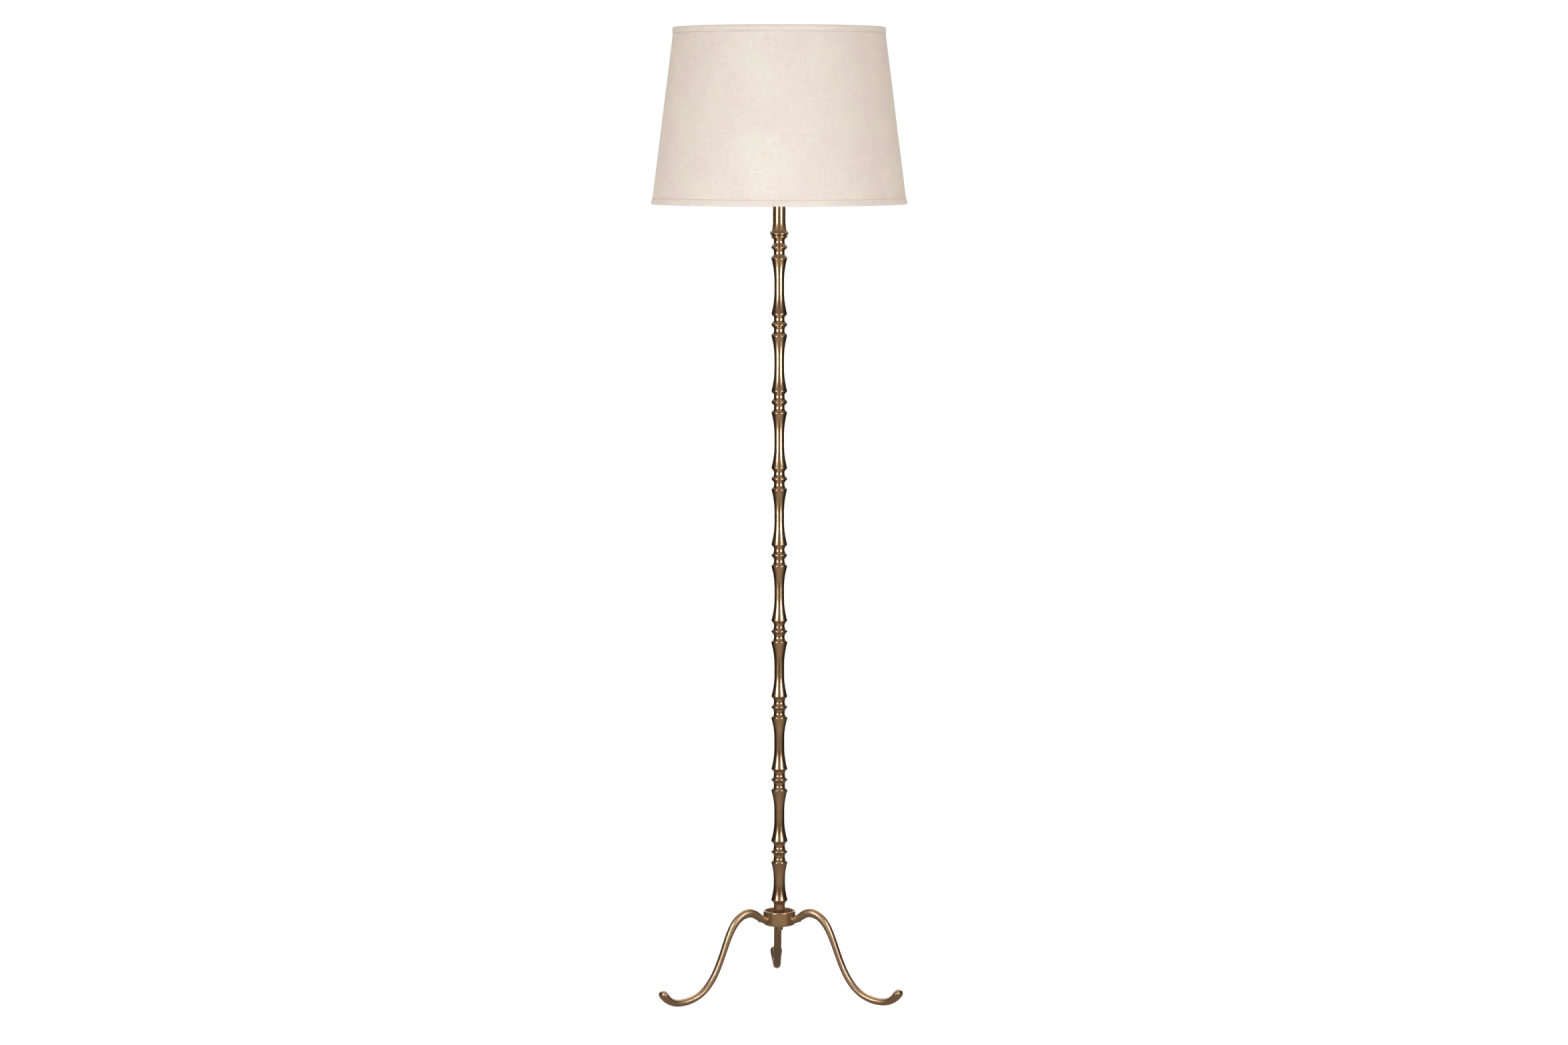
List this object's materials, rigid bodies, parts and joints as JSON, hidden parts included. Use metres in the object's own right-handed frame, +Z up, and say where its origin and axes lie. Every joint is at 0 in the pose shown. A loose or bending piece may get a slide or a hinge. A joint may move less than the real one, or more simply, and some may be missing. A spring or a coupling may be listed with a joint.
{
  "type": "tripod floor lamp",
  "caption": "Floor lamp with a turned brass stem of waisted sections and pointed beads, curved tripod legs and a tapered linen drum shade.",
  "frame": {"origin": "on the floor, on the axis of the stem", "axes": "+Z up along the stem; +Y along the back leg; the other two legs point towards -Y; the harp lies in the X-Z plane and the switch knob points along -Y"},
  "size_m": [0.4343, 0.4548, 1.6559],
  "materials": {
    "brass": "antique, satin with brown patina in the hollows",
    "steel": "zinc plated",
    "polished_brass": "satin lacquered",
    "socket_brass": "satin lacquered",
    "black_plastic": "moulded, matte",
    "insulator_card": "pressed fibre",
    "bulb_metal": "pressed thread",
    "bulb_glass": "frosted white inside",
    "linen": "plain weave with irregular slubs",
    "linen_tape": "folded tape of the same cloth",
    "liner": "translucent white sheet",
    "white_wire": "powder coated"
  },
  "bodies": {
    "stand": {"hub_cup": "brass", "hub_collar": "brass", "stem_foot_section": "brass", "stem_neck": "brass", "stem_bead_1": "brass", "stem_bead_2": "brass", "stem_bead_3": "brass", "stem_bead_4": "brass", "stem_bead_5": "brass", "stem_bead_6": "brass", "stem_bead_7": "brass", "stem_bead_8": "brass", "stem_bead_9": "brass", "stem_section_1": "brass", "stem_section_2": "brass", "stem_section_3": "brass", "stem_section_4": "brass", "stem_section_5": "brass", "stem_section_6": "brass", "stem_section_7": "brass", "stem_section_8": "brass", "leg_back": "brass", "leg_left": "brass", "leg_right": "brass", "leg_screw_back": "steel", "leg_screw_left": "steel", "leg_screw_right": "steel", "centre_pipe": "steel", "clamp_washer": "brass", "clamp_nut": "brass", "cord_bushing": "brass", "harp": "polished_brass", "harp_saddle": "polished_brass", "socket_cap": "socket_brass", "socket_shell": "socket_brass", "socket_insulator": "insulator_card", "socket_core": "black_plastic"},
    "knob": {"switch_knob": "black_plastic", "switch_shaft": "polished_brass"},
    "bulb": {"bulb_base": "bulb_metal", "bulb_glass": "bulb_glass"},
    "sleeve_left": {"harp_sleeve_left": "polished_brass"},
    "sleeve_right": {"harp_sleeve_right": "polished_brass"},
    "shade": {"shade_fabric": "linen", "shade_liner": "liner", "shade_trim_top": "linen_tape", "shade_trim_bottom": "linen_tape", "shade_ring_bottom": "white_wire", "shade_ring_top": "white_wire", "shade_fitter": "white_wire"},
    "finial": {"finial": "polished_brass"}
  },
  "joints": [
    {"name": "switch_turn", "type": "hinge", "parent": "stand", "child": "knob", "pos_m": [0, -0.03, 1.39758], "axis": [0, -1, 0], "continuous": true},
    {"name": "bulb_turn", "type": "hinge", "parent": "stand", "child": "bulb", "pos_m": [0, 0, 1.43], "axis": [0, 0, 1], "range_deg": [0, 1080]},
    {"name": "sleeve_left_lift", "type": "slide", "parent": "stand", "child": "sleeve_left", "axis": [0, 0, 1], "range_m": [0, 0.0125]},
    {"name": "sleeve_right_lift", "type": "slide", "parent": "stand", "child": "sleeve_right", "axis": [0, 0, 1], "range_m": [0, 0.0125]},
    {"name": "shade_swivel", "type": "hinge", "parent": "stand", "child": "shade", "pos_m": [0, 0, 1.6229], "axis": [0, 0, 1], "continuous": true},
    {"name": "finial_turn", "type": "hinge", "parent": "stand", "child": "finial", "pos_m": [0, 0, 1.63], "axis": [0, 0, 1], "range_deg": [0, 1440]}
  ]
}
